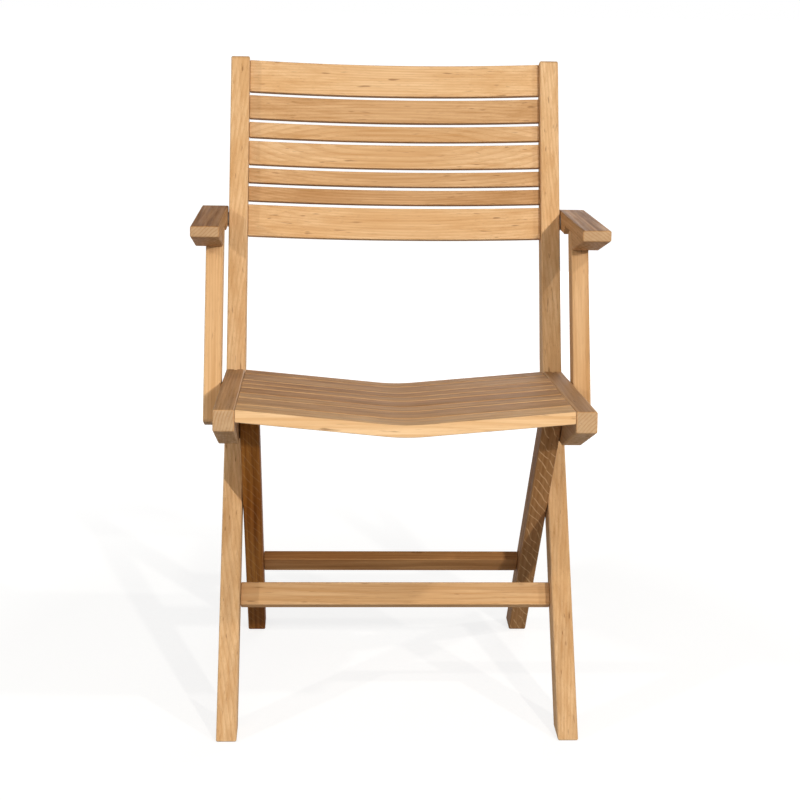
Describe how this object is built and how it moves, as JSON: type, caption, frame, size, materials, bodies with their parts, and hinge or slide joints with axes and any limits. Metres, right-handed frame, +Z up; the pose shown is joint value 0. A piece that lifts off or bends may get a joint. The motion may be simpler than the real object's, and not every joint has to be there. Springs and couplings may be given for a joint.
{
  "type": "folding armchair",
  "caption": "Folding wooden garden armchair with a slatted dished seat, a bowed slatted back, flat armrests and crossing legs.",
  "frame": {"origin": "middle of the overall box in width and depth, on the floor", "axes": "+Z up, +X to the right as seen from the front, the front of the seat towards -Y"},
  "size_m": [0.5732, 0.6078, 0.8849],
  "materials": {
    "teak_posts": "oiled, fine straight grain",
    "teak_back": "oiled, fine straight grain",
    "teak_seat": "sanded, slightly weathered",
    "teak_arms": "oiled, rounded edges",
    "brass": "dull, sunk in the wood",
    "steel": "plain turned"
  },
  "bodies": {
    "frame": {"stile_left": "teak_posts", "stile_right": "teak_posts", "back_slat_1": "teak_back", "back_slat_2": "teak_back", "back_slat_3": "teak_back", "back_slat_4": "teak_back", "back_slat_5": "teak_back", "back_slat_6": "teak_back", "back_slat_7": "teak_back", "front_stretcher": "teak_posts", "arm_bolt_left": "brass", "arm_washer_left": "steel", "leg_bolt_left": "brass", "leg_washer_left": "steel", "seat_hinge_blade_left": "brass", "arm_bolt_right": "brass", "arm_washer_right": "steel", "leg_bolt_right": "brass", "leg_washer_right": "steel", "seat_hinge_blade_right": "brass"},
    "seat": {"seat_rail_left": "teak_posts", "seat_rail_right": "teak_posts", "seat_slat_1": "teak_seat", "seat_slat_2": "teak_seat", "seat_slat_3": "teak_seat", "seat_slat_4": "teak_seat", "seat_slat_5": "teak_seat", "seat_slat_6": "teak_seat", "seat_slat_7": "teak_seat", "seat_slat_8": "teak_seat", "seat_hinge_pin_left": "steel", "support_bolt_left": "brass", "support_washer_left": "steel", "seat_hinge_pin_right": "steel", "support_bolt_right": "brass", "support_washer_right": "steel"},
    "rear_frame": {"rear_leg_left": "teak_posts", "rear_leg_right": "teak_posts", "rear_stretcher": "teak_posts", "rear_leg_rod": "steel"},
    "arm_left_body": {"arm_left": "teak_arms", "support_top_pin_left": "brass"},
    "arm_right_body": {"arm_right": "teak_arms", "support_top_pin_right": "brass"},
    "support_left_body": {"arm_support_left": "teak_arms"},
    "support_right_body": {"arm_support_right": "teak_arms"}
  },
  "joints": [
    {"name": "seat_hinge", "type": "hinge", "parent": "frame", "child": "seat", "pos_m": [0, 0.08398, 0.43913], "axis": [-1, 0, 0], "range_deg": [0, 103]},
    {"name": "rear_leg_pivot", "type": "hinge", "parent": "frame", "child": "rear_frame", "pos_m": [0, 0.00036, 0.27309], "axis": [-1, 0, 0], "range_deg": [0, 57.17]},
    {"name": "arm_left_hinge", "type": "hinge", "parent": "frame", "child": "arm_left_body", "pos_m": [-0.25395, 0.18681, 0.64987], "axis": [-1, 0, 0], "range_deg": [0, 103]},
    {"name": "arm_right_hinge", "type": "hinge", "parent": "frame", "child": "arm_right_body", "pos_m": [0.25395, 0.18681, 0.64987], "axis": [-1, 0, 0], "range_deg": [0, 103]},
    {"name": "support_left_pivot", "type": "hinge", "parent": "seat", "child": "support_left_body", "pos_m": [-0.24655, -0.03054, 0.42992], "axis": [-1, 0, 0], "range_deg": [-103, 0]},
    {"name": "support_right_pivot", "type": "hinge", "parent": "seat", "child": "support_right_body", "pos_m": [0.24655, -0.03054, 0.42992], "axis": [-1, 0, 0], "range_deg": [-103, 0]}
  ],
  "couplings": [
    {"joint": "rear_leg_pivot", "follows": "seat_hinge", "ratio": 0.555},
    {"joint": "arm_left_hinge", "follows": "seat_hinge", "ratio": 1},
    {"joint": "arm_right_hinge", "follows": "seat_hinge", "ratio": 1},
    {"joint": "support_left_pivot", "follows": "seat_hinge", "ratio": -1},
    {"joint": "support_right_pivot", "follows": "seat_hinge", "ratio": -1}
  ]
}
